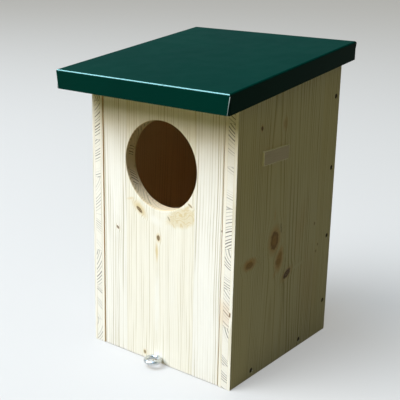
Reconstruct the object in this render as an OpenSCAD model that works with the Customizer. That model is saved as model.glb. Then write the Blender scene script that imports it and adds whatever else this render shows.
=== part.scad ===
// Owl nest box: plywood boards screwed together, a front that swings up for cleaning,
// and a pent roof board under a folded metal sheet. Millimetres, Z up, the front faces -Y.
// The origin is the middle of the footprint, on the underside.

/* [Box] */
// Outer width across both side boards
box_w = 250; // [200:1:360]
// Outer depth from the front face to the back face
box_d = 255; // [200:1:360]
// Height of the side boards at the front
wall_front_h = 399.5; // [330:0.1:560]
// Thickness of the side, back, front and floor boards
board_t = 20; // [15:0.5:26]
// Rounding of the sanded edges of the boards
board_ease = 0.5; // [0.2:0.1:1.5]

/* [Entrance] */
// Diameter of the entrance hole
hole_d = 123; // [60:1:150]
// Centre of the entrance hole, down from the roof board at the front
hole_drop = 108.5; // [85:0.1:130]
// Rounding of the rim of the entrance hole
hole_round = 1.2; // [0.5:0.1:3]

/* [Front panel] */
// Gap between the front panel and the left side board
front_gap_left = 2; // [0.5:0.1:4]
// Gap between the front panel and the right side board
front_gap_right = 0.7; // [0.5:0.1:4]
// Gap between the round top of the front panel and the roof board
front_gap_top = 4.5; // [3:0.1:10]
// Lift of the front panel above the underside of the box
front_lift = 1; // [0.5:0.1:4]
// Gap between the front panel and the floor board behind it
front_gap_floor = 0.5; // [0.3:0.1:2]

/* [Roof] */
// Rise of the roof towards the back, in degrees
roof_pitch = 7.25; // [3:0.25:15]
// Thickness of the roof board
roof_t = 16; // [12:0.5:24]
// Roof beyond the front face
roof_over_front = 48; // [30:0.5:80]
// Roof beyond each side face
roof_over_side = 19; // [8:0.5:40]
// Roof beyond the back face
roof_over_back = 4; // [3:0.5:40]
// Thickness of the metal sheet
sheet_t = 0.8; // [0.5:0.1:1.5]
// Height of the folded edges of the sheet
sheet_flap = 26; // [18:0.5:40]
// Outer radius of the folds of the sheet
sheet_fold_r = 2.8; // [1.8:0.1:4]
// Gap between the edges of the roof board and the folded edges of the sheet
sheet_fit = 0.3; // [0.1:0.1:1]
// Gap between the roof board and the sheet that lies on it
sheet_bed = 0.1; // [0.05:0.05:0.5]
// Width of the tabs that close the corners behind the front and back edges
sheet_tab = 14; // [6:0.5:25]
// Outer radius of the upright fold between a side edge and its tab
sheet_tab_r = 1.2; // [1:0.1:2]
// Open seam between a folded edge and the tab behind it
sheet_seam = 0.3; // [0.2:0.1:1]
// Taper at each end of the front and back edges, so that they clear the corners
sheet_taper = 3; // [1:0.5:6]

/* [Wood screws] */
// Diameter of the screw shanks
screw_d = 4; // [3:0.1:5]
// Diameter of the screw heads
screw_head_d = 8; // [6:0.1:9]
// Length of the screws
screw_len = 50; // [35:1:60]
// Depth of the screw heads below the face of the board
screw_sink = 1.2; // [0:0.1:2]
// Play around a screw in its hole
screw_fit = 0.1; // [0.05:0.05:0.3]
// Number of screws down each edge of the back panel
back_screw_n = 4; // [4:1:4]
// Height of the lowest back screw
back_screw_foot = 51.5; // [30:0.5:80]
// Highest back screw, down from the roof board at the back
back_screw_drop = 61.8; // [30:0.5:90]
// Front floor screw, back from the front face
floor_screw_front = 51; // [35:0.5:80]
// Rear floor screw, forward from the back face
floor_screw_back = 77; // [35:0.5:90]

/* [Eye screw] */
// Diameter of the wire
eye_wire = 3.2; // [2.5:0.1:5]
// Outer diameter of the ring
eye_ring_d = 23; // [16:0.5:32]
// Opening in the ring beside the shank, in degrees of the ring
eye_open = 12; // [5:1:30]
// Gap between the ring and the front panel
eye_stand = 1.5; // [0.5:0.1:5]
// Length of the shank that enters the floor board
eye_bite = 17; // [10:0.5:25]
// Least play around the shank as it swings out of the floor board
eye_play = 0.3; // [0.2:0.1:1]

/* [Label plate] */
// Length of the plate
label_w = 61; // [30:0.5:90]
// Height of the plate
label_h = 19.5; // [10:0.5:30]
// Thickness of the plate
label_t = 3; // [1:0.1:4]
// Middle of the plate, back from the front face
label_back = 86.5; // [60:0.5:120]
// Middle of the plate, down from the roof board above it
label_drop = 98.8; // [40:0.5:160]

/* [Hanging and drainage] */
// Diameter of the two hanging holes in the back panel
hang_d = 6.5; // [4:0.5:10]
// Height of the lower hanging hole
hang_foot = 65; // [40:0.5:90]
// Upper hanging hole, down from the roof board at the back
hang_drop = 68; // [40:0.5:90]
// Diameter of the drain holes in the floor board
drain_d = 8; // [5:0.5:12]
// Drain holes, in from the edges of the floor board
drain_in = 32; // [20:0.5:50]

/* [Hidden] */
$fn = 96;

LEFT = -1;
RIGHT = 1;
FRONT = -1;
BACK = 1;
through = 1; // how far a cutting tool runs past the face that it cuts

front_y = -box_d / 2;
back_y = box_d / 2;
inner_w = box_w - 2 * board_t;

// height of the underside of the roof board at depth y
function roof_under(y) = wall_front_h + (y - front_y) * tan(roof_pitch);
// plumb height of what lies h above that underside, square to the slope
function plumb(h) = h / cos(roof_pitch);

pivot_y = front_y + board_t / 2;
pivot_z = roof_under(pivot_y) - plumb(board_t / 2 + front_gap_top);
panel_x0 = -inner_w / 2 + front_gap_left;
panel_x1 = inner_w / 2 - front_gap_right;
hole_z = wall_front_h - hole_drop;

floor_y0 = front_y + board_t + front_gap_floor;
floor_y1 = back_y - board_t;

screw_head_h = (screw_head_d - screw_d) / 2;
screw_tip = 1.5 * screw_d;
back_screw_z = [for (i = [0:back_screw_n - 1])
    back_screw_foot + i * (roof_under(back_y) - back_screw_drop - back_screw_foot) / (back_screw_n - 1)];
floor_screw_y = [front_y + floor_screw_front, back_y - floor_screw_back];

eye_z = board_t / 2;
eye_ring_r = (eye_ring_d - eye_wire) / 2;
eye_y = front_y - eye_stand - eye_ring_d / 2;
// the ring starts this far past the middle of the shank, in degrees, just beyond its side
eye_lap = asin(1.1 * eye_wire / 2 / eye_ring_r);
eye_tip_y = floor_y0 + eye_bite;
// drop of the shank's tip as it passes under the pivot, which the hole in the floor leaves free
eye_sweep = norm([eye_tip_y - pivot_y, pivot_z - eye_z]) - (pivot_z - eye_z);
eye_hole_r = eye_wire / 2 + eye_sweep + eye_play;

// underside and top of the sheet, square to the slope, above the underside of the roof board
sheet_low = roof_t + sheet_bed;
sheet_top = sheet_low + sheet_t;
// the side and end faces of the sheet, and its lower edge above the underside of the roof board
sheet_x = box_w / 2 + roof_over_side;
sheet_y0 = front_y - roof_over_front;
sheet_y1 = back_y + roof_over_back;
sheet_foot = plumb(sheet_top) - sheet_flap;
// the corner seams end this far below the round folds
seam_stop = 1;
label_y = front_y + label_back;
label_z = roof_under(label_y) - label_drop;

// a side outline in Y and Z, made thick along X
module along_x(x, t) {
    translate([x, 0, 0]) rotate([90, 0, 90]) linear_extrude(t) children();
}

// the space below the roof board, which the walls fill up to the slope
module below_roof() {
    foot = -2 * sheet_flap;
    along_x(-sheet_x, 2 * sheet_x)
        polygon([
            [sheet_y0, foot], [sheet_y1, foot],
            [sheet_y1, roof_under(sheet_y1)], [sheet_y0, roof_under(sheet_y0)]
        ]);
}

// rectangle with eased corners
module eased_outline(w, h) {
    e = board_ease;
    translate([e, 0]) square([w - 2 * e, h]);
    translate([0, e]) square([w, h - 2 * e]);
    for (x = [e, w - e], y = [e, h - e]) translate([x, y]) circle(r = e, $fn = 24);
}

// board with its lowest corner at p and all twelve edges eased
module eased_board(p, size) {
    translate(p) intersection() {
        linear_extrude(size[2]) eased_outline(size[0], size[1]);
        rotate([90, 0, 90]) linear_extrude(size[0]) eased_outline(size[1], size[2]);
        translate([0, size[1], 0]) rotate([90, 0, 0]) linear_extrude(size[1]) eased_outline(size[0], size[2]);
    }
}

// upright board, eased below and down its sides, and cut to the slope of the roof
module wall_board(x0, x1, y0, y1) {
    intersection() {
        eased_board([x0, y0, 0], [x1 - x0, y1 - y0, 2 * wall_front_h]);
        below_roof();
    }
}

// places what points along +Z so that it enters a side board from outside
module from_side(side, y, z) {
    translate([side * (box_w / 2 - screw_sink), y, z]) rotate([0, -90 * side, 0]) children();
}

// countersunk screw, its head at the origin and its tip along +Z
module wood_screw() {
    difference() {
        union() {
            cylinder(h = screw_head_h, d1 = screw_head_d, d2 = screw_d);
            cylinder(h = screw_len - screw_tip, d = screw_d);
            translate([0, 0, screw_len - screw_tip])
                cylinder(h = screw_tip, d1 = screw_d, d2 = screw_d / 8);
        }
        cross_recess();
    }
}

// cross-shaped socket for the driver
module cross_recess() {
    arm = screw_head_d * 0.55;
    for (a = [0, 90])
        rotate([0, 0, a]) translate([-arm / 2, -arm / 10, -through])
            cube([arm, arm / 5, through + screw_head_h * 0.7]);
}

// the hole that a wood screw fills, open at its head
module screw_hole() {
    translate([0, 0, -screw_sink - through])
        cylinder(h = screw_sink + through, d = screw_head_d + 2 * screw_fit);
    cylinder(h = screw_head_h, d1 = screw_head_d + 2 * screw_fit, d2 = screw_d + 2 * screw_fit);
    cylinder(h = screw_len + screw_fit, d = screw_d + 2 * screw_fit);
}

module back_screw_places(side) {
    for (z = back_screw_z) from_side(side, back_y - board_t / 2, z) children();
}

module floor_screw_places(side) {
    for (y = floor_screw_y) from_side(side, y, board_t / 2) children();
}

module side_board(side) {
    difference() {
        if (side == LEFT) wall_board(-box_w / 2, -inner_w / 2, front_y, back_y);
        else wall_board(inner_w / 2, box_w / 2, front_y, back_y);
        back_screw_places(side) screw_hole();
        floor_screw_places(side) screw_hole();
        from_side(side, pivot_y, pivot_z) screw_hole();
    }
}

module left_side() {
    color("wheat") side_board(LEFT);
}

module right_side() {
    color("wheat") side_board(RIGHT);
}

module back_panel() {
    color("burlywood") difference() {
        wall_board(-inner_w / 2, inner_w / 2, floor_y1, back_y);
        for (side = [LEFT, RIGHT]) back_screw_places(side) screw_hole();
        for (z = [hang_foot, roof_under(back_y) - hang_drop])
            translate([0, floor_y1 - through, z]) rotate([-90, 0, 0])
                cylinder(h = board_t + 2 * through, d = hang_d);
    }
}

module floor_board() {
    color("tan") difference() {
        eased_board([-inner_w / 2, floor_y0, 0], [inner_w, floor_y1 - floor_y0, board_t]);
        for (side = [LEFT, RIGHT]) floor_screw_places(side) screw_hole();
        for (x = [-1, 1] * (inner_w / 2 - drain_in), y = [floor_y0 + drain_in, floor_y1 - drain_in])
            translate([x, y, -through]) cylinder(h = board_t + 2 * through, d = drain_d);
        translate([0, floor_y0 - through, eye_z]) rotate([-90, 0, 0])
            cylinder(h = through + eye_bite + 2 * eye_play, r = eye_hole_r);
    }
}

// round opening through the front panel, with an eased rim on both faces
module entrance() {
    r = hole_d / 2;
    translate([0, front_y, hole_z]) rotate([-90, 0, 0]) {
        translate([0, 0, -through]) cylinder(h = board_t + 2 * through, d = hole_d, $fn = 180);
        for (face = [0, 1]) translate([0, 0, face * board_t]) mirror([0, 0, face]) rotate_extrude($fn = 180)
            difference() {
                translate([r - through, -through]) square([through + hole_round, through + hole_round]);
                translate([r + hole_round, hole_round]) circle(r = hole_round, $fn = 32);
            }
    }
}

module front_panel() {
    color("moccasin") difference() {
        intersection() {
            eased_board([panel_x0, front_y, front_lift], [panel_x1 - panel_x0, board_t, pivot_z]);
            along_x(panel_x0, panel_x1 - panel_x0) {
                translate([front_y, front_lift]) square([board_t, pivot_z - front_lift]);
                translate([pivot_y, pivot_z]) circle(d = board_t);
            }
        }
        entrance();
        for (side = [LEFT, RIGHT]) from_side(side, pivot_y, pivot_z) screw_hole();
        translate([0, front_y - through, eye_z]) rotate([-90, 0, 0])
            cylinder(h = board_t + 2 * through, d = eye_wire + 2 * screw_fit);
    }
}

// roof outline from the side: plumb ends set in by inset, a top that is round at both ends,
// and a lower edge this far above the underside of the roof board
module roof_side_outline(inset, r, top, foot) {
    y0 = sheet_y0 + inset;
    y1 = sheet_y1 - inset;
    fold0 = [y0 + r, roof_under(y0 + r) + plumb(top - r)];
    fold1 = [y1 - r, roof_under(y1 - r) + plumb(top - r)];
    up = r * [-sin(roof_pitch), cos(roof_pitch)];
    polygon([
        [y0, roof_under(y0) + foot], [y1, roof_under(y1) + foot],
        [y1, fold1[1]], fold1, fold1 + up, fold0 + up, fold0, [y0, fold0[1]]
    ]);
    for (fold = [fold0, fold1]) translate(fold) circle(r = r, $fn = 32);
}

// roof outline from the front, square to the slope
module roof_front_outline(half_w, r, top) {
    depth = 2 * sheet_flap;
    translate([-half_w, -depth]) square([2 * half_w, top - r + depth]);
    translate([-half_w + r, -depth]) square([2 * (half_w - r), top + depth]);
    for (x = [-1, 1] * (half_w - r)) translate([x, top - r]) circle(r = r, $fn = 32);
}

// block under the roof slope, its ends and sides set in, with round upper edges
module roof_form(end_inset, side_inset, r, top, foot) {
    half_w = sheet_x - side_inset;
    reach = 2 * box_d;
    intersection() {
        along_x(-half_w, 2 * half_w) roof_side_outline(end_inset, r, top, foot);
        translate([0, front_y, wall_front_h]) rotate([90 + roof_pitch, 0, 0])
            translate([0, 0, -reach]) linear_extrude(2 * reach) roof_front_outline(half_w, r, top);
    }
}

// board inside the folded sheet, shorter than it by the tabs at both ends
module roof_board() {
    side_inset = sheet_t + sheet_fit;
    color("peru") difference() {
        roof_form(side_inset + sheet_t + sheet_seam, side_inset, sheet_fold_r - side_inset, roof_t, -sheet_flap);
        below_roof();
    }
}

module sheet_outside() {
    roof_form(0, 0, sheet_fold_r, sheet_top, sheet_foot);
}

// places what is drawn for one corner of the sheet: X and Y run in from its side and end,
// and Z = 0 is the top of the corner's seam
module at_corners() {
    for (side = [LEFT, RIGHT], end = [FRONT, BACK]) {
        y = end == FRONT ? sheet_y0 : sheet_y1;
        translate([side * sheet_x, y, roof_under(y) + plumb(sheet_top) - sheet_fold_r - seam_stop])
            mirror([side == RIGHT ? 1 : 0, 0, 0]) mirror([0, end == BACK ? 1 : 0, 0]) children();
    }
}

// tab that runs from the side edge in behind the end edge
module corner_tab() {
    translate([0, sheet_t + sheet_seam, -2 * sheet_flap]) cube([sheet_tab, sheet_t, 2 * sheet_flap - sheet_seam]);
}

// what is cut out of a corner: the seam, the taper of the end edge and the round of the tab's fold
module corner_notch() {
    seam_h = sheet_flap - sheet_fold_r - seam_stop;
    tab_y = sheet_t + sheet_seam;
    deep = 2 * seam_h;
    translate([-through, sheet_t, -deep]) cube([through + 2 * sheet_t, sheet_seam, deep]);
    translate([0, tab_y, 0]) rotate([90, 0, 0]) linear_extrude(tab_y + through)
        polygon([[-through, 0], [0, 0], [sheet_taper * deep / seam_h, -deep], [-through, -deep]]);
    translate([0, tab_y, -deep]) linear_extrude(deep) difference() {
        translate([-through, -sheet_seam]) square([through + sheet_tab_r, sheet_seam + sheet_tab_r]);
        translate([sheet_tab_r, sheet_tab_r]) circle(r = sheet_tab_r, $fn = 32);
    }
}

// sheet folded down over all four edges of the roof board, with a tab closing each corner
module roof_sheet() {
    color("darkgreen") difference() {
        union() {
            difference() {
                sheet_outside();
                roof_form(sheet_t, sheet_t, sheet_fold_r - sheet_t, sheet_low, -2 * sheet_flap);
            }
            intersection() {
                sheet_outside();
                at_corners() corner_tab();
            }
        }
        at_corners() corner_notch();
    }
}

module label_plate() {
    color("gainsboro")
        eased_board([box_w / 2, label_y - label_w / 2, label_z - label_h / 2], [label_t, label_w, label_h]);
}

// open wire ring that lies flat, on a straight pointed shank
module eye_screw() {
    color("silver") translate([0, 0, eye_z]) {
        translate([0, eye_y, 0]) rotate([0, 0, 90 - eye_lap])
            rotate_extrude(angle = 360 - eye_open)
                translate([eye_ring_r, 0]) circle(d = eye_wire, $fn = 32);
        translate([0, eye_y + eye_ring_r, 0]) rotate([-90, 0, 0])
            cylinder(h = eye_tip_y - eye_y - eye_ring_r - eye_wire, d = eye_wire);
        translate([0, eye_tip_y - eye_wire, 0]) rotate([-90, 0, 0])
            cylinder(h = eye_wire, d1 = eye_wire, d2 = eye_wire / 8);
    }
}

module pivot_screw(side) {
    color("dimgray") from_side(side, pivot_y, pivot_z) wood_screw();
}

module back_screw(side, i) {
    color("dimgray") from_side(side, back_y - board_t / 2, back_screw_z[i]) wood_screw();
}

module floor_screw(side, i) {
    color("dimgray") from_side(side, floor_screw_y[i], board_t / 2) wood_screw();
}

left_side();
right_side();
back_panel();
floor_board();
front_panel();
roof_board();
roof_sheet();
label_plate();
eye_screw();
pivot_screw(LEFT);  // pivot_screw_left
pivot_screw(RIGHT);  // pivot_screw_right
back_screw(LEFT, 0);  // back_screw_left_1
back_screw(LEFT, 1);  // back_screw_left_2
back_screw(LEFT, 2);  // back_screw_left_3
back_screw(LEFT, 3);  // back_screw_left_4
back_screw(RIGHT, 0);  // back_screw_right_1
back_screw(RIGHT, 1);  // back_screw_right_2
back_screw(RIGHT, 2);  // back_screw_right_3
back_screw(RIGHT, 3);  // back_screw_right_4
floor_screw(LEFT, 0);  // floor_screw_left_1
floor_screw(LEFT, 1);  // floor_screw_left_2
floor_screw(RIGHT, 0);  // floor_screw_right_1
floor_screw(RIGHT, 1);  // floor_screw_right_2
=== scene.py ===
import math

import bmesh
import bpy
from mathutils import Matrix, Vector


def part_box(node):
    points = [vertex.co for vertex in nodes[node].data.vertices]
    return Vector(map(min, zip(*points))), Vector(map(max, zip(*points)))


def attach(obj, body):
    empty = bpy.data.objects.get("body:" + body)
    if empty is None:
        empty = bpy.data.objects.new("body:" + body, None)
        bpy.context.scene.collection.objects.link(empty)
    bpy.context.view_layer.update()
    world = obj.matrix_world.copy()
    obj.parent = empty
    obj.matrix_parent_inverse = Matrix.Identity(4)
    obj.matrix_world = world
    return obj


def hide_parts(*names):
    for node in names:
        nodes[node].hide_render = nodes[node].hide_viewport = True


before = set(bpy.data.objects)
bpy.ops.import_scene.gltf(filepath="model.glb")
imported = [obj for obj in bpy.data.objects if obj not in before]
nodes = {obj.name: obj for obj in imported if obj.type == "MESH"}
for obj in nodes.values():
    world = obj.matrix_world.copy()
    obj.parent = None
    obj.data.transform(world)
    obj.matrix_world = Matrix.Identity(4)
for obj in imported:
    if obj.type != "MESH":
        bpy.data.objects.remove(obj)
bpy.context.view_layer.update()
mm = 0.001


def corners(node):
    low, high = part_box(node)
    return Vector(low), Vector(high)


frontLow = corners("front_panel")[0]
leftLow = corners("left_side")[0]
floorLow = corners("floor_board")[0]
rightLow, rightHigh = corners("right_side")
backLow, backHigh = corners("back_panel")
sheetLow, sheetHigh = corners("roof_sheet")
plateLow, plateHigh = corners("label_plate")
eyeLow, eyeHigh = corners("eye_screw")


def roofSlope():
    # the rise of the roof and the height where it starts, read off the top of a side board
    points = [v.co for v in nodes["right_side"].data.vertices]
    front = max(p.z for p in points if p.y < rightLow.y + 0.1 * mm)
    back = max(p.z for p in points if p.y > rightHigh.y - 0.1 * mm)
    return math.atan2(back - front, rightHigh.y - rightLow.y), front


pitch, eaveHeight = roofSlope()
slopeAlong = Vector((0, math.cos(pitch), math.sin(pitch)))
slopeUp = Vector((0, -math.sin(pitch), math.cos(pitch)))
sheetTop = max(v.co.dot(slopeUp) for v in nodes["roof_sheet"].data.vertices)
noFlame = 9000 * mm        # a place off every board, for wood without an arched flame


# the studio: camera, lamps, sky and floor

def addObject(name, data):
    added = bpy.data.objects.new(name, data)
    bpy.context.collection.objects.link(added)
    return added


def makeCamera():
    view = {"place": (0.6994, -0.9613, 0.5719), "yaw": 37.14, "pitch": 16.73, "roll": 1.26,
            "lens": 75.7, "sensor": 36}
    yaw, down, roll = (math.radians(view[k]) for k in ("yaw", "pitch", "roll"))
    forward = Vector((-math.sin(yaw) * math.cos(down), math.cos(yaw) * math.cos(down), -math.sin(down)))
    level = Vector((math.cos(yaw), math.sin(yaw), 0))
    above = level.cross(forward)
    right = level * math.cos(roll) + above * math.sin(roll)
    up = above * math.cos(roll) - level * math.sin(roll)
    turn = Matrix((right, up, -forward)).transposed().to_4x4()
    camera = addObject("camera", bpy.data.cameras.new("camera"))
    camera.data.lens = view["lens"]
    camera.data.sensor_width = view["sensor"]
    camera.matrix_world = Matrix.Translation(view["place"]) @ turn
    bpy.context.scene.camera = camera


def makeLamps():
    # turn is measured from straight in front towards the left, rise from the level
    lamps = {
        "keyLamp": {"turn": 32, "rise": 45, "size": 4.6, "power": 332, "colour": (1.06, 1.01, 0.94)},
        "skyLamp": {"turn": 34, "rise": 63, "size": 5.0, "power": 336, "colour": (0.76, 1.03, 1.45)}}
    aim = Vector((0, -0.05, 0.2))
    distance = 5.4
    for name, lamp in lamps.items():
        turn, rise = math.radians(lamp["turn"]), math.radians(lamp["rise"])
        forward = math.cos(rise)
        toLamp = Vector((-math.sin(turn) * forward, -math.cos(turn) * forward, math.sin(rise)))
        light = bpy.data.lights.new(name, "AREA")
        light.shape = "DISK"
        light.size = lamp["size"]
        light.energy = lamp["power"]
        light.color = lamp["colour"]
        holder = addObject(name, light)
        holder.location = aim + toLamp * distance
        holder.rotation_euler = (-toLamp).to_track_quat("-Z", "Y").to_euler()


def directRays(tree):
    # 1 for what the camera sees straight, in a reflection or through glass, and 0 for bounced light
    path = tree.nodes.new("ShaderNodeLightPath").outputs
    return calc(tree, "MAXIMUM", calc(tree, "MAXIMUM", path["Is Camera Ray"], path["Is Glossy Ray"]),
                path["Is Transmission Ray"])


def makeWorld():
    sky = {"low": 0.95, "high": 0.21, "horizon": (0.02, 0.28), "lowColour": (0.97, 0.985, 1.0, 1),
           "highColour": (0.5, 0.92, 0.95, 1), "light": 0.085, "lightColour": (1.0, 0.88, 0.27, 1),
           "from": (-0.3, -0.65, 0.7), "facing": (-0.5, 1.0, 0.35, 2.3), "behind": 4.5,
           "behindFrom": (0.5, 0.95), "behindColour": (1.0, 0.95, 0.8, 1)}
    world = bpy.data.worlds.new("studio")
    bpy.context.scene.world = world
    world.use_nodes = True
    tree = world.node_tree
    background = tree.nodes["Background"]
    seen = directRays(tree)
    away = tree.nodes.new("ShaderNodeTexCoord").outputs["Generated"]
    way = split(tree, away)
    up = fade(tree, way["Z"], *sky["horizon"])
    shown = mixValues(tree, up, sky["low"], sky["high"])
    shownColour = blendColours(tree, up, sky["lowColour"], sky["highColour"])
    # the light itself comes mostly from the front and above, and a little from behind
    facing = fade(tree, calcVector(tree, "DOT_PRODUCT", away, sky["from"]), *sky["facing"])
    behind = fade(tree, way["Y"], *sky["behindFrom"])
    light = calc(tree, "MULTIPLY_ADD", behind, sky["behind"], facing)
    light = calc(tree, "MULTIPLY", light, sky["light"])
    lightColour = blendColours(tree, behind, sky["lightColour"], sky["behindColour"])
    tree.links.new(mixValues(tree, seen, light, shown), background.inputs["Strength"])
    tree.links.new(blendColours(tree, seen, lightColour, shownColour), background.inputs["Color"])


def makeFloor():
    # lift is the glow that makes the floor pale where it is seen; bounce is its colour for other light
    floor = {"size": 40, "colour": (0.315, 0.304, 0.28, 1), "bounce": (0.1, 0.084, 0.03, 1), "lift": 0.355,
             "roughness": 0.9, "gloss": 0.1}
    mesh = bpy.data.meshes.new("studioFloor")
    bm = bmesh.new()
    bmesh.ops.create_grid(bm, x_segments=1, y_segments=1, size=floor["size"] / 2)
    bm.to_mesh(mesh)
    bm.free()
    addObject("studioFloor", mesh)
    material, tree, shader = newMaterial("studioFloor")
    seen = directRays(tree)
    tree.links.new(blendColours(tree, seen, floor["bounce"], floor["colour"]), shader.inputs["Base Color"])
    shader.inputs["Roughness"].default_value = floor["roughness"]
    shader.inputs["Specular IOR Level"].default_value = floor["gloss"]
    shader.inputs["Emission Color"].default_value = (1, 1, 1, 1)
    tree.links.new(calc(tree, "MULTIPLY", seen, floor["lift"]), shader.inputs["Emission Strength"])
    mesh.materials.append(material)


def makeStudio():
    makeCamera()
    makeLamps()
    makeWorld()
    makeFloor()
    bpy.context.scene.view_settings.view_transform = "Standard"


# small helpers for node trees; a value is a number, a colour or another node's output

def newMaterial(name):
    material = bpy.data.materials.new(name)
    material.use_nodes = True
    return material, material.node_tree, material.node_tree.nodes["Principled BSDF"]


def feed(tree, socket, value):
    if isinstance(value, bpy.types.NodeSocket):
        tree.links.new(value, socket)
    elif value is not None:
        socket.default_value = value


def calc(tree, operation, a, b=None, c=None, clamp=False):
    node = tree.nodes.new("ShaderNodeMath")
    node.operation = operation
    node.use_clamp = clamp
    for socket, value in zip(node.inputs, (a, b, c)):
        feed(tree, socket, value)
    return node.outputs[0]


def product(tree, first, *others):
    for other in others:
        first = calc(tree, "MULTIPLY", first, other)
    return first


def calcVector(tree, operation, a, b=None):
    node = tree.nodes.new("ShaderNodeVectorMath")
    node.operation = operation
    feed(tree, node.inputs[0], a)
    feed(tree, node.inputs[1], b)
    return node.outputs["Value" if operation in ("DOT_PRODUCT", "LENGTH") else "Vector"]


def fade(tree, value, start, end, low=0.0, high=1.0):
    node = tree.nodes.new("ShaderNodeMapRange")
    node.interpolation_type = "SMOOTHSTEP"
    names = ("Value", "From Min", "From Max", "To Min", "To Max")
    for name, given in zip(names, (value, start, end, low, high)):
        feed(tree, node.inputs[name], given)
    return node.outputs["Result"]


def mixValues(tree, factor, a, b):
    node = tree.nodes.new("ShaderNodeMix")
    for name, given in zip(("Factor", "A", "B"), (factor, a, b)):
        feed(tree, node.inputs[name], given)
    return node.outputs["Result"]


def blendColours(tree, factor, a, b, mode="MIX"):
    node = tree.nodes.new("ShaderNodeMix")
    node.data_type = "RGBA"
    node.blend_type = mode
    feed(tree, node.inputs["Factor"], factor)
    feed(tree, node.inputs[6], a)        # A, B and Result as colours: their names come up earlier too
    feed(tree, node.inputs[7], b)
    return node.outputs[2]


def shade(tree, colour, amount):
    return blendColours(tree, 1.0, colour, join(tree, amount, amount, amount), "MULTIPLY")


def cloud(tree, vector, scale=1.0, detail=2.0, rough=0.5):
    node = tree.nodes.new("ShaderNodeTexNoise")
    feed(tree, node.inputs["Vector"], vector)
    feed(tree, node.inputs["Scale"], scale)
    feed(tree, node.inputs["Detail"], detail)
    feed(tree, node.inputs["Roughness"], rough)
    return node.outputs["Fac"]


def chance(tree, value):
    node = tree.nodes.new("ShaderNodeTexWhiteNoise")
    node.noise_dimensions = "1D"
    feed(tree, node.inputs["W"], value)
    return node.outputs["Value"]


def split(tree, vector):
    node = tree.nodes.new("ShaderNodeSeparateXYZ")
    feed(tree, node.inputs[0], vector)
    return node.outputs


def join(tree, x, y, z):
    node = tree.nodes.new("ShaderNodeCombineXYZ")
    for socket, value in zip(node.inputs, (x, y, z)):
        feed(tree, socket, value)
    return node.outputs[0]


def packed(tree, *ways):
    # a place in a cloud; a pair is a value and how tightly the cloud is packed along it
    return join(tree, *(calc(tree, "MULTIPLY", *way) if isinstance(way, tuple) else way for way in ways))


def linear(red, green, blue):
    # from the 0 to 255 values of a colour chart to a shader's colour
    values = [c / 255 for c in (red, green, blue)]
    return tuple(v / 12.92 if v <= 0.04045 else ((v + 0.055) / 1.055) ** 2.4 for v in values) + (1,)


def newGroup(name, inputs, outputs):
    tree = bpy.data.node_groups.new(name, "ShaderNodeTree")
    kinds = {"vector": "NodeSocketVector", "colour": "NodeSocketColor", "value": "NodeSocketFloat"}
    for kind, names in inputs.items():
        for socketName in names.split():
            tree.interface.new_socket(socketName, in_out="INPUT", socket_type=kinds[kind])
    for kind, names in outputs.items():
        for socketName in names.split():
            tree.interface.new_socket(socketName, in_out="OUTPUT", socket_type=kinds[kind])
    return tree, tree.nodes.new("NodeGroupInput").outputs, tree.nodes.new("NodeGroupOutput").inputs


def useGroup(tree, group, **values):
    node = tree.nodes.new("ShaderNodeGroup")
    node.node_tree = group
    for name, value in values.items():
        feed(tree, node.inputs[name], value)
    return node.outputs


def addBump(tree, shader, height, strength, distance):
    bump = tree.nodes.new("ShaderNodeBump")
    bump.inputs["Strength"].default_value = strength
    bump.inputs["Distance"].default_value = distance
    tree.links.new(height, bump.inputs["Height"])
    tree.links.new(bump.outputs["Normal"], shader.inputs["Normal"])


def objectPlace(tree):
    return tree.nodes.new("ShaderNodeTexCoord").outputs["Object"]


def setMaterial(node, material):
    slots = nodes[node].data.materials
    slots.clear()
    slots.append(material)


# spruce

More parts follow.
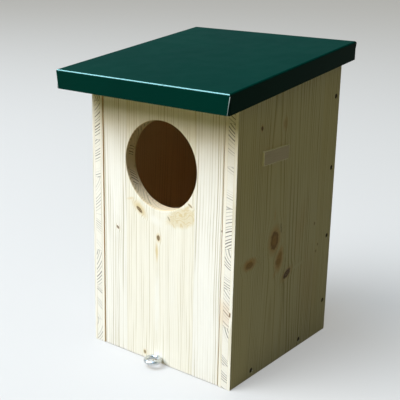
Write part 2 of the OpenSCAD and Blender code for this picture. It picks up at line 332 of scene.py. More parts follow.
def makeRingsGroup():
    # Vector is across, depth and along the grain in metres. Each glued strip has rings round a heart of its
    # own, far to one side of it, which gives straight lines; the strip at FlameAt has its heart under it,
    # which gives long narrow arches
    rings = {"side": (0.6, 1.6), "deep": (0.1, 1.9), "flameDeep": 9 * mm, "bends": (9, 5), "bend": 12 * mm,
             "uneven": 55, "unevenBy": 3.2, "late": (0.4, 0.86), "lateEnd": (0.9, 1.0), "boldAlong": 7,
             "bold": (0.34, 0.68, 0.15, 1.0), "fibres": (1300, 30), "joint": (0.4955, 0.4985),
             "seedStep": 7.31, "drawStep": 0.17}
    tree, given, wanted = newGroup(
        "spruceRings",
        {"vector": "Vector", "value": "Strip Shift Ring Bunch Side Deep Lean FlameAt FlameLean Seed"},
        {"value": "Line Fibre Tone Joint"})
    across, depth, along = split(tree, given["Vector"])
    place = calc(tree, "DIVIDE", calc(tree, "ADD", across, given["Shift"]), given["Strip"])
    inStrip = calc(tree, "SUBTRACT", calc(tree, "FRACT", place), 0.5)
    local = calc(tree, "MULTIPLY", inStrip, given["Strip"])
    number = calc(tree, "MULTIPLY_ADD", given["Seed"], rings["seedStep"], calc(tree, "FLOOR", place))
    draws = (chance(tree, calc(tree, "ADD", number, n * rings["drawStep"])) for n in range(5))
    turn, far, sunk, slant, tone = draws

    fromFlame = calc(tree, "SUBTRACT", across, given["FlameAt"])
    inFlame = calc(tree, "LESS_THAN", calc(tree, "ABSOLUTE", calc(tree, "SUBTRACT", fromFlame, local)),
                   calc(tree, "MULTIPLY", given["Strip"], 0.5))
    sign = mixValues(tree, calc(tree, "GREATER_THAN", turn, 0.5), -1.0, 1.0)
    side = product(tree, given["Side"], sign, mixValues(tree, far, *rings["side"]))
    dx = mixValues(tree, inFlame, calc(tree, "SUBTRACT", local, side), fromFlame)
    deep = product(tree, given["Deep"], mixValues(tree, sunk, *rings["deep"]))
    deep = mixValues(tree, inFlame, deep, rings["flameDeep"])
    lean = product(tree, given["Lean"], calc(tree, "SUBTRACT", slant, 0.5))
    lean = mixValues(tree, inFlame, lean, given["FlameLean"])
    bendAcross, bendAlong = rings["bends"]
    waver = cloud(tree, packed(tree, (across, bendAcross), number, (along, bendAlong)), 1.0, 1.0)
    dx = calc(tree, "MULTIPLY_ADD", calc(tree, "SUBTRACT", waver, 0.5), rings["bend"], dx)
    dy = calc(tree, "ADD", calc(tree, "ADD", depth, deep), calc(tree, "MULTIPLY", along, lean))
    radius = calc(tree, "SQRT", calc(tree, "MULTIPLY_ADD", dx, dx, calc(tree, "MULTIPLY", dy, dy)))

    uneven = cloud(tree, packed(tree, (radius, rings["uneven"]), number, 0), 1.0, 2.0)
    even = calc(tree, "DIVIDE", radius, given["Ring"])
    phase = calc(tree, "FRACT", calc(tree, "MULTIPLY_ADD", uneven, rings["unevenBy"], even))
    late = product(tree, fade(tree, phase, *rings["late"]), fade(tree, phase, *rings["lateEnd"], 1.0, 0.0))
    bold = cloud(tree, packed(tree, (radius, given["Bunch"]), number, (along, rings["boldAlong"])), 1.0, 1.0)
    tree.links.new(product(tree, late, fade(tree, bold, *rings["bold"])), wanted["Line"])
    dense, loose = rings["fibres"]
    fibres = packed(tree, (across, dense), (depth, dense), (along, loose))
    tree.links.new(cloud(tree, fibres, 1.0, 3.0, 0.6), wanted["Fibre"])
    tree.links.new(tone, wanted["Tone"])
    tree.links.new(fade(tree, calc(tree, "ABSOLUTE", inStrip), *rings["joint"]), wanted["Joint"])
    return tree


def measureOval(tree, given, width, height):
    # the steps from the middle of a tilted oval, plain and as shares of its half width and half height
    place = split(tree, given["Vector"])
    dx = calc(tree, "SUBTRACT", place["X"], given["Across"])
    dz = calc(tree, "SUBTRACT", place["Z"], given["Along"])
    cosTilt = calc(tree, "COSINE", given["Tilt"])
    sinTilt = calc(tree, "SINE", given["Tilt"])
    u = calc(tree, "MULTIPLY_ADD", dx, cosTilt, calc(tree, "MULTIPLY", dz, sinTilt))
    v = calc(tree, "SUBTRACT", calc(tree, "MULTIPLY", dz, cosTilt), calc(tree, "MULTIPLY", dx, sinTilt))
    return dx, dz, calc(tree, "DIVIDE", u, width), calc(tree, "DIVIDE", v, height)


def raggedReach(tree, u, v, dents, amount):
    # how far out of the oval's middle a place lies, 1 at the rim, which the dents make uneven
    away = calc(tree, "SQRT", calc(tree, "MULTIPLY_ADD", u, u, calc(tree, "MULTIPLY", v, v)))
    ragged = calc(tree, "SUBTRACT", cloud(tree, dents, 1.0, 2.0), 0.5)
    return calc(tree, "MULTIPLY_ADD", ragged, amount, away)


def makeKnotGroup():
    # one knot: it bends the grain round itself, and adds to the knot and resin masks that it is handed
    knot = {"dents": (300, 220), "ragged": 0.7, "flow": 3.6, "rings": 14, "ringShade": (0.15, 0.8),
            "heart": (0.5, 1.1), "rim": (0.5, 0.85), "rimEnd": (0.9, 1.2), "rimShade": 0.5,
            "halo": (0.5, 2.2)}
    tree, given, wanted = newGroup(
        "spruceKnot",
        {"vector": "Vector",
         "value": "Knot Resin Across Along Radius Stretch Tilt Dark Glow Gate Flow Heart"},
        {"vector": "Vector", "value": "Knot Resin"})
    across, depth, along = split(tree, given["Vector"])
    height = calc(tree, "MULTIPLY", given["Radius"], given["Stretch"])
    dx, dz, u, v = measureOval(tree, given, given["Radius"], height)
    dentsAcross, dentsAlong = knot["dents"]
    dents = packed(tree, (dx, dentsAcross), 0, (dz, dentsAlong))
    away = raggedReach(tree, u, v, dents, knot["ragged"])
    near = product(tree, fade(tree, away, 0.0, knot["flow"], 1.0, 0.0), given["Gate"], given["Flow"])
    bent = calc(tree, "SUBTRACT", across, product(tree, dx, near))
    tree.links.new(join(tree, bent, depth, along), wanted["Vector"])
    wave = calc(tree, "SINE", calc(tree, "MULTIPLY", away, knot["rings"]))
    grain = calc(tree, "MULTIPLY_ADD", wave, *knot["ringShade"])
    heart = product(tree, fade(tree, away, *knot["heart"], 1.0, 0.0), grain, given["Heart"])
    rim = product(tree, fade(tree, away, *knot["rim"]), fade(tree, away, *knot["rimEnd"], 1.0, 0.0),
                  knot["rimShade"])
    body = product(tree, calc(tree, "ADD", heart, rim), given["Dark"], given["Gate"])
    tree.links.new(calc(tree, "MAXIMUM", body, given["Knot"], clamp=True), wanted["Knot"])
    halo = product(tree, fade(tree, away, *knot["halo"], 1.0, 0.0), given["Glow"], given["Gate"])
    tree.links.new(calc(tree, "MAXIMUM", halo, given["Resin"], clamp=True), wanted["Resin"])
    return tree


def makePatchGroup():
    # a soft oval on the face of a board; Swirl is the curly grain that can fill it
    patch = {"dents": (120, 60), "ragged": 0.5, "hills": (1.7, 3.1), "curls": 8, "curlRise": 3.0,
             "streak": (0.45, 0.85), "streakEnd": (0.88, 1.0)}
    tree, given, wanted = newGroup(
        "grainPatch", {"vector": "Vector", "value": "Across Along Width Height Tilt Soft"},
        {"value": "Mask Swirl"})
    place = split(tree, given["Vector"])
    u, v = measureOval(tree, given, given["Width"], given["Height"])[2:]
    dentsAcross, dentsAlong = patch["dents"]
    dents = packed(tree, (place["X"], dentsAcross), 0, (place["Z"], dentsAlong))
    away = raggedReach(tree, u, v, dents, patch["ragged"])
    solid = calc(tree, "SUBTRACT", 1.0, given["Soft"])
    tree.links.new(fade(tree, away, solid, 1.0, 1.0, 0.0), wanted["Mask"])
    hillsAcross, hillsSeed = patch["hills"]
    hills = cloud(tree, packed(tree, (u, hillsAcross), hillsSeed, v), 1.0, 2.0)
    rise = calc(tree, "MULTIPLY", v, patch["curlRise"])
    curl = calc(tree, "FRACT", calc(tree, "MULTIPLY_ADD", hills, patch["curls"], rise))
    tree.links.new(product(tree, fade(tree, curl, *patch["streak"]),
                           fade(tree, curl, *patch["streakEnd"], 1.0, 0.0)), wanted["Swirl"])
    return tree


def makeBoardGroup(ringsGroup):
    # three plies: the faces run with the grain, the core runs across it
    spruce = {"early": linear(252, 248, 238), "late": linear(186, 174, 136), "pale": linear(253, 250, 240),
              "warm": linear(249, 241, 216), "inside": (0.81, 0.6, 0.4, 1), "knot": linear(86, 53, 26),
              "core": linear(253, 248, 235), "coreLate": linear(70, 48, 24), "glue": linear(212, 194, 160),
              "skin": 0.4 * mm, "innerSkin": 0.3 * mm, "glueWidth": 0.3 * mm, "patches": (22, 3)}
    # how much of each effect shows; a pair goes from none of its cause to all of it, and four values are
    # the cause's start and end and what shows at each
    shown = {"lineInPale": (0.88, 0.12), "lineInResin": (1.0, 0.3), "lineInside": 0.5, "warm": (0.0, 0.4),
             "patches": (0.5, 0.75, 0.0, 0.5), "pale": 0.7, "fibre": (0.25, 0.75, 0.95, 1.02), "joint": 0.3,
             "resin": 0.75, "coreLine": (0.2, 0.75, 0.0, 1.0), "coreTone": (0.4, 0.85),
             "coreFibre": (0.25, 0.75, 0.86, 1.03), "coreJoint": 0.5, "glue": 0.55}
    rough = {"line": (0.66, 0.54), "core": 0.15, "knot": 0.1}
    relief = {"line": 0.6, "fibre": 0.6, "coreLine": 0.5, "coreFibre": 1.4, "glue": 0.8}
    faceRings = {"Ring": 4 * mm, "Bunch": 150, "Side": 75 * mm, "Deep": 30 * mm}
    coreRings = {"Ring": 4 * mm, "Bunch": 60, "Side": 50 * mm, "Deep": 30 * mm, "Strip": 55 * mm,
                 "Shift": 20 * mm, "Lean": 0.1, "FlameAt": noFlame, "FlameLean": 0.0}
    tree, given, wanted = newGroup(
        "threePlySpruce",
        {"vector": "Vector", "colour": "Honey",
         "value": "Tint Knot Resin Pale Thickness Ply Strip Shift Lean FlameAt FlameLean Seed"},
        {"colour": "Color", "value": "Roughness Height"})
    across, depth, along = split(tree, given["Vector"])
    halfway = calc(tree, "MULTIPLY", given["Thickness"], 0.5)
    fromMiddle = calc(tree, "ABSOLUTE", calc(tree, "SUBTRACT", depth, halfway))
    coreHalf = calc(tree, "SUBTRACT", halfway, given["Ply"])
    inCore = calc(tree, "LESS_THAN", fromMiddle, coreHalf)
    fromBoard = {name: given[name] for name in ("Strip", "Shift", "Lean", "Seed", "FlameAt", "FlameLean")}
    face = useGroup(tree, ringsGroup, Vector=given["Vector"], **faceRings, **fromBoard)
    core = useGroup(tree, ringsGroup, Vector=join(tree, along, depth, across), **coreRings,
                    Seed=calc(tree, "ADD", given["Seed"], 3.7))

    # the faces: grain lines, warmer strips, pale patches, fibres, joints, resin and knots
    patchAcross, patchAlong = spruce["patches"]
    patches = cloud(tree, packed(tree, (across, patchAcross), given["Seed"], (along, patchAlong)), 1.0, 3.0)
    innerStart = calc(tree, "SUBTRACT", given["Thickness"], spruce["innerSkin"])
    inner = calc(tree, "GREATER_THAN", depth, innerStart)
    faceLine = product(tree, face["Line"], fade(tree, given["Pale"], 0.0, 1.0, *shown["lineInPale"]),
                       fade(tree, given["Resin"], 0.0, 1.0, *shown["lineInResin"]),
                       mixValues(tree, inner, 1.0, shown["lineInside"]))
    faceColour = blendColours(tree, faceLine, spruce["early"], spruce["late"])
    warm = fade(tree, face["Tone"], 0.0, 1.0, *shown["warm"])
    faceColour = blendColours(tree, warm, faceColour, spruce["warm"])
    faceColour = blendColours(tree, fade(tree, patches, *shown["patches"]), faceColour, spruce["pale"])
    faceColour = blendColours(tree, product(tree, given["Pale"], shown["pale"]), faceColour, spruce["pale"])
    faceColour = shade(tree, faceColour, fade(tree, face["Fibre"], *shown["fibre"]))
    faceColour = blendColours(tree, product(tree, face["Joint"], shown["joint"]), faceColour, spruce["late"])
    resin = product(tree, given["Resin"], shown["resin"])
    faceColour = blendColours(tree, resin, faceColour, given["Honey"])
    faceColour = blendColours(tree, given["Knot"], faceColour, spruce["knot"])
    # painted shade: the inner faces are darkened and warmed, standing in for the shade within the box
    faceColour = blendColours(tree, inner, faceColour, spruce["inside"], "MULTIPLY")
    # painted shade: where a board is given this factor, its outer face is darkened, standing in for the
    # shade that side lies in
    outer = calc(tree, "LESS_THAN", depth, spruce["skin"])
    faceColour = shade(tree, faceColour, mixValues(tree, outer, 1.0, given["Tint"]))

    # the core, which shows its end grain on the edges
    coreLine = product(tree, fade(tree, core["Line"], *shown["coreLine"]),
                       fade(tree, core["Tone"], 0.0, 1.0, *shown["coreTone"]))
    coreColour = blendColours(tree, coreLine, spruce["core"], spruce["coreLate"])
    coreColour = shade(tree, coreColour, fade(tree, core["Fibre"], *shown["coreFibre"]))
    coreJoint = product(tree, core["Joint"], shown["coreJoint"])
    coreColour = blendColours(tree, coreJoint, coreColour, spruce["coreLate"])
    coreColour = blendColours(tree, resin, coreColour, given["Honey"])
    coreColour = blendColours(tree, given["Knot"], coreColour, spruce["knot"])

    fromGlue = calc(tree, "ABSOLUTE", calc(tree, "SUBTRACT", fromMiddle, coreHalf))
    glueLine = fade(tree, fromGlue, 0.0, spruce["glueWidth"], shown["glue"], 0.0)
    colour = blendColours(tree, inCore, faceColour, coreColour)
    tree.links.new(blendColours(tree, glueLine, colour, spruce["glue"]), wanted["Color"])
    roughness = fade(tree, face["Line"], 0.0, 1.0, *rough["line"])
    roughness = calc(tree, "MULTIPLY_ADD", inCore, rough["core"], roughness)
    roughness = calc(tree, "SUBTRACT", roughness, product(tree, given["Knot"], rough["knot"]))
    tree.links.new(roughness, wanted["Roughness"])
    faceFibre = product(tree, face["Fibre"], relief["fibre"])
    coreFibre = product(tree, core["Fibre"], relief["coreFibre"])
    height = mixValues(tree, inCore, calc(tree, "MULTIPLY_ADD", face["Line"], relief["line"], faceFibre),
                       calc(tree, "MULTIPLY_ADD", core["Line"], relief["coreLine"], coreFibre))
    tree.links.new(calc(tree, "SUBTRACT", height, product(tree, glueLine, relief["glue"])), wanted["Height"])
    return tree


def makeBoardMaterial(name, board, groups):
    # the board gives the corner where its own measures start, and its three directions
    finish = {"gloss": 0.1, "relief": 0.4, "depth": 0.2 * mm, "sawnAndShaded": (0.8, 0.7, 0.54, 1),
              "honey": linear(218, 194, 126), "edge": 0.6 * mm, "edgeFade": 0.3 * mm,
              "spot": (2.4 * mm, 3.2 * mm), "spotEnd": (4.6 * mm, 5.6 * mm), "swirl": (0.5, 0.5)}
    material, tree, shader = newMaterial(name)
    place = objectPlace(tree)
    fromCorner = calcVector(tree, "SUBTRACT", place, board["corner"])
    ways = [board[key] for key in ("across", "depth", "along")]
    vector = join(tree, *(calcVector(tree, "DOT_PRODUCT", fromCorner, way) for way in ways))
    inBoard = split(tree, vector)
    depth, ply = inBoard["Y"], board["ply"]
    onEdge = calc(tree, "LESS_THAN", inBoard["X"], finish["edge"])
    gates = {"outer": calc(tree, "LESS_THAN", depth, ply),
             "inner": calc(tree, "GREATER_THAN", depth, board["thickness"] - ply),
             "edge": product(tree, onEdge, fade(tree, depth, ply, ply + finish["edgeFade"])),
             "spot": product(tree, onEdge, fade(tree, depth, *finish["spot"]),
                             fade(tree, depth, *finish["spotEnd"], 1.0, 0.0))}
    pale = resin = knot = 0.0
    for kind, across, along, width, height, tilt, soft, amount in board.get("patches", ()):
        patch = useGroup(tree, groups["patch"], Vector=vector, Across=across * mm, Along=along * mm,
                         Width=width * mm, Height=height * mm, Tilt=math.radians(tilt), Soft=soft)
        mask = product(tree, patch["Mask"], gates["edge" if kind == "edge" else "outer"], amount)
        if kind == "swirl":
            inStrip = calc(tree, "LESS_THAN", inBoard["X"], board["swirlEnd"] * mm)
            swirl = calc(tree, "MULTIPLY_ADD", patch["Swirl"], *finish["swirl"])
            mask = product(tree, mask, inStrip, swirl)
        if kind == "pale":
            pale = calc(tree, "MAXIMUM", mask, pale)
        else:
            resin = calc(tree, "MAXIMUM", mask, resin)
    for side, across, along, radius, stretch, tilt, dark, glow, flow, heart in board["knots"]:
        marked = useGroup(tree, groups["knot"], Vector=vector, Knot=knot, Resin=resin, Across=across * mm,
                          Along=along * mm, Radius=radius * mm, Stretch=stretch, Tilt=math.radians(tilt),
                          Dark=dark, Glow=glow, Gate=gates[side], Flow=flow, Heart=heart)
        vector, knot, resin = marked["Vector"], marked["Knot"], marked["Resin"]
    spruce = useGroup(tree, groups["board"], Vector=vector, Honey=board.get("honey", finish["honey"]),
                      Tint=board.get("tint", 1.0), Knot=knot, Resin=resin, Pale=pale, Seed=board["seed"],
                      Thickness=board["thickness"], Ply=ply, Strip=board["strip"] * mm,
                      Shift=board["shift"] * mm, Lean=board["lean"],
                      FlameAt=board["flame"] * mm if "flame" in board else noFlame,
                      FlameLean=board.get("flameLean", 0.0))
    colour = spruce["Color"]
    if "hole" in board:
        # the cut wall of the entrance is darker than the planed faces, partly for its rough end grain and
        # partly as painted shade within the entrance
        hole = {key: value * mm for key, value in board["hole"].items()}
        middle = (board["corner"][0] + hole["across"], 0, hole["along"])
        flat = calcVector(tree, "MULTIPLY", calcVector(tree, "SUBTRACT", place, middle), (1, 0, 1))
        sawnAndShaded = calc(tree, "LESS_THAN", calcVector(tree, "LENGTH", flat), hole["radius"])
        colour = blendColours(tree, sawnAndShaded, colour, finish["sawnAndShaded"], "MULTIPLY")
    tree.links.new(colour, shader.inputs["Base Color"])
    tree.links.new(spruce["Roughness"], shader.inputs["Roughness"])
    shader.inputs["Specular IOR Level"].default_value = finish["gloss"]
    addBump(tree, shader, spruce["Height"], finish["relief"], finish["depth"])
    return material


def makeBoards():
    # lengths are in millimetres; strip, shift and lean are the glued strips' width, start and slant
    # patches: kind, across, along, half width, half height, tilt, softness of the edge, amount
    # knots: face, across, along, radius, stretch, tilt, darkness, glow of resin round it, pull on the grain,
    # share of the darkness that its heart gets
    # a flame is the middle of a strip whose lines close in long arches
    boards = {
        "front_panel": {
            "corner": (leftLow.x, frontLow.y, 0),
            "across": (1, 0, 0), "depth": (0, 1, 0), "along": (0, 0, 1),
            "seed": 1.0, "strip": 120, "shift": 55, "lean": 0.04, "swirlEnd": 184,
            "hole": {"across": 125, "along": 291, "radius": 62.2},
            "patches": [
                ("swirl", 164, 226, 33, 16, 20, 0.4, 1.0), ("resin", 88, 225, 22, 10, -35, 0.9, 1.0),
                ("resin", 72, 236, 11, 3, 15, 0.9, 0.6), ("resin", 120, 168, 3.6, 19, 2, 0.8, 1.0),
                ("resin", 170, 240, 16, 3.5, 40, 0.8, 0.8), ("pale", 118, 213, 17, 10, -20, 0.9, 0.8),
                ("pale", 121, 90, 7, 70, 0, 0.8, 0.8), ("pale", 200, 110, 22, 140, 0, 0.7, 0.55),
                ("pale", 44, 280, 16, 130, 0, 0.7, 0.6), ("pale", 207, 290, 17, 120, 0, 0.7, 0.45)],
            "knots": [
                ("outer", 88.4, 222.9, 2.6, 2.4, 54, 0.95, 1.0, 0.9, 1.0),
                ("outer", 122.7, 189.1, 2.7, 1.5, 0, 0.95, 1.0, 0.9, 1.0),
                ("outer", 47.7, 188.4, 1.8, 1.6, 50, 0.95, 0.6, 0.7, 1.0),
                ("outer", 229.2, 222.4, 1.2, 1.2, 0, 0.6, 0.3, 0.7, 1.0),
                ("outer", 99, 9.5, 2.0, 1.4, 0, 0.8, 0.9, 0.8, 1.0),
                ("outer", 141, 220.5, 1.2, 3.0, 35, 0.5, 0.6, 0.9, 1.0),
                ("outer", 177, 246, 1.3, 2.8, 60, 0.55, 0.8, 0.9, 1.0),
                ("inner", 70, 120, 5, 2.2, 10, 0.8, 0.5, 0.9, 1.0),
                ("inner", 170, 300, 3, 1.8, -15, 0.7, 0.4, 0.9, 1.0)]},
        "right_side": {
            "corner": (rightHigh.x, rightLow.y, 0),
            "across": (0, 1, 0), "depth": (-1, 0, 0), "along": (0, 0, 1),
            "seed": 2.0, "strip": 85, "shift": 45, "lean": 0.04, "flame": 92, "flameLean": 0.026,
            # painted shade: this side's outer face is darkened, standing in for the shade it lies in
            "honey": linear(216, 160, 84), "tint": 0.82,
            "patches": [
                ("resin", 36, 171.8, 23, 11, 0, 0.8, 1.0), ("resin", 94, 226, 3, 14, 0, 0.9, 0.35),
                ("resin", 101, 141, 4, 14, -30, 0.9, 0.45), ("pale", 163, 134, 24, 4, 7, 0.8, 0.8),
                ("pale", 112, 60, 9, 80, 0, 0.6, 0.7), ("pale", 96, 262, 5, 60, 0, 0.8, 0.6),
                ("resin", 195, 95, 44, 90, 10, 1.0, 0.2), ("resin", 165, 195, 22, 60, -18, 1.0, 0.18),
                ("resin", 70, 320, 60, 50, 0, 1.0, 0.12), ("pale", 60, 90, 26, 90, 0, 0.9, 0.5),
                ("edge", 0, 109, 20, 24, 0, 0.7, 0.3)],
            "knots": [
                ("spot", 0, 110, 2.2, 1.3, 0, 1.0, 0.6, 0.0, 1.0),
                ("outer", 95.5, 189.4, 9.0, 1.42, -6, 1.0, 1.0, 0.9, 0.46),
                ("outer", 105.2, 203, 1.1, 7, -5, 0.8, 0.0, 0.3, 1.0),
                ("outer", 109, 158, 7, 1.6, -8, 0.34, 1.0, 0.8, 0.7),
                ("outer", 108, 155, 3.2, 1.5, 0, 0.4, 0.6, 0.8, 1.0),
                ("outer", 36, 170, 9, 0.5, 0, 0.46, 0.9, 0.8, 1.0),
                ("outer", 132.2, 129.6, 5.0, 2.0, -63, 1.0, 0.6, 0.4, 1.0),
                ("outer", 53, 352, 2.3, 1.4, 0, 1.0, 0.6, 0.7, 1.0),
                ("outer", 109, 350, 4, 1.4, 0, 0.12, 0.4, 0.7, 1.0),
                ("outer", 204.4, 186.7, 2, 1.2, 0, 0.5, 0.3, 0.7, 1.0),
                ("outer", 217.5, 151, 1.6, 1.2, 0, 0.6, 0.3, 0.7, 1.0),
                ("outer", 212.7, 141.4, 2, 1.2, 0, 0.45, 0.3, 0.7, 1.0),
                ("inner", 150, 250, 4, 2, 0, 0.7, 0.5, 0.9, 1.0)]},
        "left_side": {
            "corner": (leftLow.x, leftLow.y, 0),
            "across": (0, 1, 0), "depth": (1, 0, 0), "along": (0, 0, 1),
            "seed": 3.0, "strip": 98, "shift": 30, "lean": 0.05, "flame": 165, "flameLean": 0.022,
            "patches": [("pale", 50, 120, 8, 70, 0, 0.7, 0.7)],
            "knots": [
                ("outer", 60, 300, 4.5, 2.0, 12, 0.8, 0.6, 0.9, 1.0),
                ("outer", 170, 210, 5, 2.4, -10, 0.6, 0.9, 0.9, 0.5),
                ("outer", 120, 80, 2, 1.4, 0, 0.9, 0.5, 0.8, 1.0),
                ("inner", 110, 120, 4, 2.2, 8, 0.7, 0.5, 0.9, 1.0)]},
        "back_panel": {
            "corner": (backLow.x, backHigh.y, 0),
            "across": (1, 0, 0), "depth": (0, -1, 0), "along": (0, 0, 1),
            "seed": 4.0, "strip": 110, "shift": 60, "lean": 0.04, "flame": 105, "flameLean": 0.02,
            "knots": [
                ("outer", 60, 150, 5, 2.0, 0, 0.7, 0.9, 0.9, 0.6),
                ("outer", 150, 330, 3.6, 2.2, 14, 0.8, 0.5, 0.9, 1.0),
                ("outer", 165, 110, 2, 1.4, 0, 0.9, 0.5, 0.8, 1.0),
                ("inner", 90, 130, 5, 2.2, -8, 0.7, 0.6, 0.9, 1.0)]},
        "floor_board": {
            "corner": (floorLow.x, floorLow.y, 0),
            "across": (0, 1, 0), "depth": (0, 0, 1), "along": (1, 0, 0),
            "seed": 5.0, "strip": 100, "shift": 40, "lean": 0.06,
            "knots": [
                ("inner", 90, 120, 5, 2.0, 0, 0.7, 0.5, 0.9, 1.0),
                ("outer", 130, 60, 4, 2.0, 0, 0.7, 0.5, 0.9, 1.0)]},
        "roof_board": {
            "corner": (sheetLow.x, frontLow.y, eaveHeight), "across": (1, 0, 0), "depth": slopeUp,
            "along": slopeAlong, "seed": 6.0, "strip": 100, "shift": 70, "lean": 0.05,
            "thickness": 16 * mm, "ply": 4 * mm,
            "knots": [("outer", 100, 40, 4, 2.0, 0, 0.7, 0.5, 0.9, 1.0)]},
    }
    groups = {"knot": makeKnotGroup(), "patch": makePatchGroup(), "board": makeBoardGroup(makeRingsGroup())}
    for node, board in boards.items():
        board.setdefault("thickness", rightHigh.x - rightLow.x)
        board.setdefault("ply", 5 * mm)
        setMaterial(node, makeBoardMaterial(node + "Spruce", board, groups))


# coated sheet, metal and label plate

def makeSheetMaterial():
    # tone, rub, ragged and peel say how fine the clouds are that make its blotches, gloss, chips and skin;
    # foldFront and foldTop are shares of the fold's radius
    coat = {"green": linear(0, 43, 34), "deep": linear(0, 40, 32), "bare": linear(188, 204, 200),
            "roughness": (0.28, 0.33), "gloss": 0.014, "tone": 9, "rub": 40, "ragged": 420, "peel": 1400,
            "contrast": (0.3, 0.7), "relief": 0.02, "chip": 0.45 * mm, "chipUneven": 0.2 * mm,
            "taper": 3 * mm, "seam": 22.2 * mm, "seamEnd": 1 * mm, "seamShadeReach": (2 * mm, 3 * mm),
            "seamShade": 0.35, "front": 0.95 * mm, "fold": 2.8 * mm, "foldHighlight": linear(150, 205, 204),
            "foldFront": (0.15, 0.55), "foldTop": (0.25, 0.65)}
    material, tree, shader = newMaterial("greenSheet")
    place = objectPlace(tree)
    x, y, z = split(tree, place)
    tone = fade(tree, cloud(tree, place, coat["tone"], 2.0), *coat["contrast"])
    green = blendColours(tree, tone, coat["green"], coat["deep"])

    # bare metal where the tapered ends of the front edge were cut
    foot = calc(tree, "SUBTRACT", z, sheetLow.z)
    inFromFront = calc(tree, "SUBTRACT", y, sheetLow.y)
    endAt = calc(tree, "MULTIPLY_ADD", foot, coat["taper"] / coat["seam"], sheetHigh.x - coat["taper"])
    inFromEnd = calc(tree, "SUBTRACT", endAt, calc(tree, "ABSOLUTE", x))
    uneven = coat["chipUneven"]
    ragged = calc(tree, "MULTIPLY_ADD", cloud(tree, place, coat["ragged"], 2.0), 2 * uneven, -uneven)
    cut = fade(tree, calc(tree, "ADD", inFromEnd, ragged), coat["chip"] - uneven, coat["chip"], 1.0, 0.0)
    onFront = calc(tree, "LESS_THAN", inFromFront, coat["front"])
    below = calc(tree, "LESS_THAN", foot, coat["seam"] + coat["seamEnd"])
    bare = product(tree, cut, onFront, below)
    # painted shade: the seam behind them is darkened, standing in for the shade that falls in it
    behind = fade(tree, inFromFront, *coat["seamShadeReach"], 1.0, 0.0)
    seamShadeMask = product(tree, calc(tree, "SUBTRACT", 1.0, onFront), behind, below)

    # painted highlight: the coating is painted paler along the front fold, standing in for the light the
    # fold catches
    underTop = calc(tree, "SUBTRACT", sheetTop, calcVector(tree, "DOT_PRODUCT", place, slopeUp))
    frontFade, topFade = ([share * coat["fold"] for share in coat[k]] for k in ("foldFront", "foldTop"))
    foldHighlightMask = product(tree, fade(tree, inFromFront, *frontFade, 1.0, 0.0),
                     fade(tree, underTop, *topFade, 1.0, 0.0))
    green = blendColours(tree, foldHighlightMask, green, coat["foldHighlight"])
    green = shade(tree, green, mixValues(tree, seamShadeMask, 1.0, coat["seamShade"]))
    tree.links.new(blendColours(tree, bare, green, coat["bare"]), shader.inputs["Base Color"])
    tree.links.new(bare, shader.inputs["Metallic"])
    rough = fade(tree, cloud(tree, place, coat["rub"], 3.0), *coat["contrast"], *coat["roughness"])
    tree.links.new(rough, shader.inputs["Roughness"])
    shader.inputs["Specular IOR Level"].default_value = coat["gloss"]
    addBump(tree, shader, cloud(tree, place, coat["peel"], 1.0), coat["relief"], 0.1 * mm)
    return material


def makeMetal(name):
    # plated metal, blotched in two tones
    blotch = {"fineness": 900, "contrast": (0.3, 0.7)}
    metals = {
        "zincWire": {"light": linear(220, 222, 222), "dull": linear(192, 196, 198), "rough": (0.24, 0.38)},
        # painted shade: the screw colours are made nearly black, standing in for the shade in their
        # countersunk holes
        "paintedShadeScrew": {"light": linear(66, 56, 42), "dull": linear(38, 31, 24), "rough": (0.42, 0.6)}}
    metal = metals[name]
    material, tree, shader = newMaterial(name)
    blotches = fade(tree, cloud(tree, objectPlace(tree), blotch["fineness"], 3.0), *blotch["contrast"])
    tree.links.new(blendColours(tree, blotches, metal["light"], metal["dull"]), shader.inputs["Base Color"])
    shader.inputs["Metallic"].default_value = 1.0
    tree.links.new(mixValues(tree, blotches, *metal["rough"]), shader.inputs["Roughness"])
    return material


def makePlateMaterial():
    # painted highlight: the cut edge and a band round the face are painted much paler than the face,
    # standing in for the light the edges catch
    plate = {"face": linear(198, 186, 170), "grain": linear(186, 172, 152), "edge": linear(255, 252, 242),
             "rim": (0.5 * mm, 1.1 * mm), "highlightDepth": (0.5 * mm, 0.2 * mm), "streaks": (40, 1500),
             "contrast": (0.35, 0.7), "roughness": 0.6, "relief": 0.2}
    material, tree, shader = newMaterial("barePlate")
    x, y, z = split(tree, objectPlace(tree))
    loose, dense = plate["streaks"]
    streaks = cloud(tree, packed(tree, (y, loose), 0, (z, dense)), 1.0, 3.0)
    face = blendColours(tree, fade(tree, streaks, *plate["contrast"]), plate["face"], plate["grain"])
    rim = fade(tree, x, *(plateHigh.x - deep for deep in plate["highlightDepth"]), 1.0, 0.0)
    for value, low, high in ((y, plateLow.y, plateHigh.y), (z, plateLow.z, plateHigh.z)):
        inFromRim = calc(tree, "MINIMUM", calc(tree, "SUBTRACT", value, low),
                         calc(tree, "SUBTRACT", high, value))
        rim = calc(tree, "MAXIMUM", rim, fade(tree, inFromRim, *plate["rim"], 1.0, 0.0))
    tree.links.new(blendColours(tree, rim, face, plate["edge"]), shader.inputs["Base Color"])
    shader.inputs["Roughness"].default_value = plate["roughness"]
    addBump(tree, shader, streaks, plate["relief"], 0.1 * mm)
    return material


# eye screw, bent from one wire, with a rolled thread

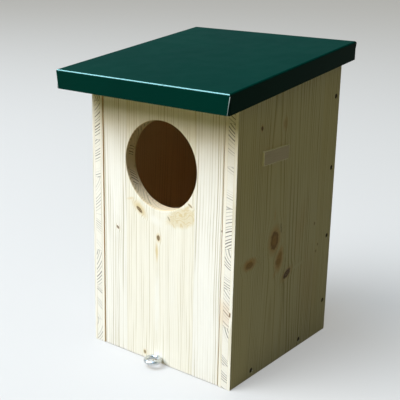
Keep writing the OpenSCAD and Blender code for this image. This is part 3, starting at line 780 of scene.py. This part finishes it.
def makeEyeScrew(finish):
    # the ring starts at the bend and ends in the direction endAt, in degrees from straight right
    eye = {"wire": 3.2 * mm, "bend": 3.5 * mm, "bendSteps": 10, "endAt": 72, "ringSteps": 60, "sides": 20,
           "thread": 15 * mm, "root": 2.5 * mm, "lead": 1.3 * mm, "point": 2.4 * mm, "neck": 1 * mm,
           "ridge": 0.35 * mm, "runOut": (0.6 * mm, 1.4 * mm), "sunk": 0.1 * mm, "turnSteps": 16}
    ringRadius = (eyeHigh.x - eyeLow.x - eye["wire"]) / 2
    ringY = eyeLow.y + (eyeHigh.x - eyeLow.x) / 2
    threadY = eyeHigh.y - eye["thread"]
    z = (eyeLow.z + eyeHigh.z) / 2
    reach = ringRadius + eye["bend"]
    bendY = ringY + math.sqrt(reach ** 2 - eye["bend"] ** 2)
    lean = math.degrees(math.atan2(bendY - ringY, -eye["bend"]))        # where the bend meets the ring
    bm = bmesh.new()

    def loop(at, radius):
        ring = bmesh.ops.create_circle(bm, segments=eye["sides"], radius=radius,
                                       matrix=Matrix.Translation(at) @ Matrix.Rotation(math.pi / 2, 4, "X"))
        return list({e for v in ring["verts"] for e in v.link_edges})

    def pull(edges, offset, scale=1.0):
        made = bmesh.ops.extrude_edge_only(bm, edges=edges)["geom"]
        points = [g for g in made if isinstance(g, bmesh.types.BMVert)]
        bmesh.ops.translate(bm, verts=points, vec=offset)
        middle = sum((p.co for p in points), Vector()) / len(points)
        bmesh.ops.scale(bm, verts=points, vec=(scale, 1, scale), space=Matrix.Translation(-middle))
        return [g for g in made if isinstance(g, bmesh.types.BMEdge)]

    def bend(edges, centre, degrees, steps):
        made = bmesh.ops.spin(bm, geom=edges, cent=centre, axis=(0, 0, 1), angle=math.radians(degrees),
                              steps=steps)
        return [g for g in made["geom_last"] if isinstance(g, bmesh.types.BMEdge)]

    tip = loop((0, eyeHigh.y, z), eye["root"] / 10)
    bmesh.ops.holes_fill(bm, edges=tip)
    edges = pull(tip, (0, -eye["point"], 0), 10.0)
    edges = pull(edges, (0, eye["point"] + eye["neck"] - eye["thread"], 0))
    edges = pull(edges, (0, -eye["neck"], 0), eye["wire"] / eye["root"])
    edges = pull(edges, (0, bendY - threadY, 0))
    edges = bend(edges, (-eye["bend"], bendY, z), lean - 180, eye["bendSteps"])
    edges = bend(edges, (0, ringY, z), 360 - lean + eye["endAt"], eye["ringSteps"])
    bmesh.ops.holes_fill(bm, edges=edges)

    # the thread's ridge, wound on as a slim three-sided strip
    turns = (eye["thread"] - sum(eye["runOut"])) / eye["lead"]
    start = threadY + eye["runOut"][0]
    root, crest = eye["root"] / 2 - eye["sunk"], eye["wire"] / 2
    ridge = [bm.verts.new((r, start + dy, z))
             for r, dy in ((root, -eye["ridge"]), (crest, 0), (root, eye["ridge"]))]
    sides = [bm.edges.new((ridge[i], ridge[(i + 1) % 3])) for i in range(3)]
    wound = bmesh.ops.spin(bm, geom=sides, cent=(0, 0, z), axis=(0, 1, 0),
                           dvec=(0, eye["lead"] / eye["turnSteps"], 0), angle=turns * 2 * math.pi,
                           steps=int(turns * eye["turnSteps"]))
    bmesh.ops.holes_fill(bm, edges=sides)
    bmesh.ops.holes_fill(bm, edges=[g for g in wound["geom_last"] if isinstance(g, bmesh.types.BMEdge)])

    bmesh.ops.recalc_face_normals(bm, faces=bm.faces)
    for face in bm.faces:
        face.smooth = True
    mesh = bpy.data.meshes.new("eyeScrewWire")
    bm.to_mesh(mesh)
    bm.free()
    mesh.set_sharp_from_angle(angle=math.radians(45))
    mesh.materials.append(finish)
    wire = addObject("eyeScrewWire", mesh)
    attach(wire, "eye")
    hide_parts("eye_screw")


makeStudio()
print("studio ready")
makeBoards()
print("boards ready")
setMaterial("roof_sheet", makeSheetMaterial())
setMaterial("label_plate", makePlateMaterial())
screwFinish = makeMetal("paintedShadeScrew")
for node in nodes:
    if "_screw_" in node:
        setMaterial(node, screwFinish)
print("sheet, plate and screws ready")
makeEyeScrew(makeMetal("zincWire"))
print("eye screw ready")
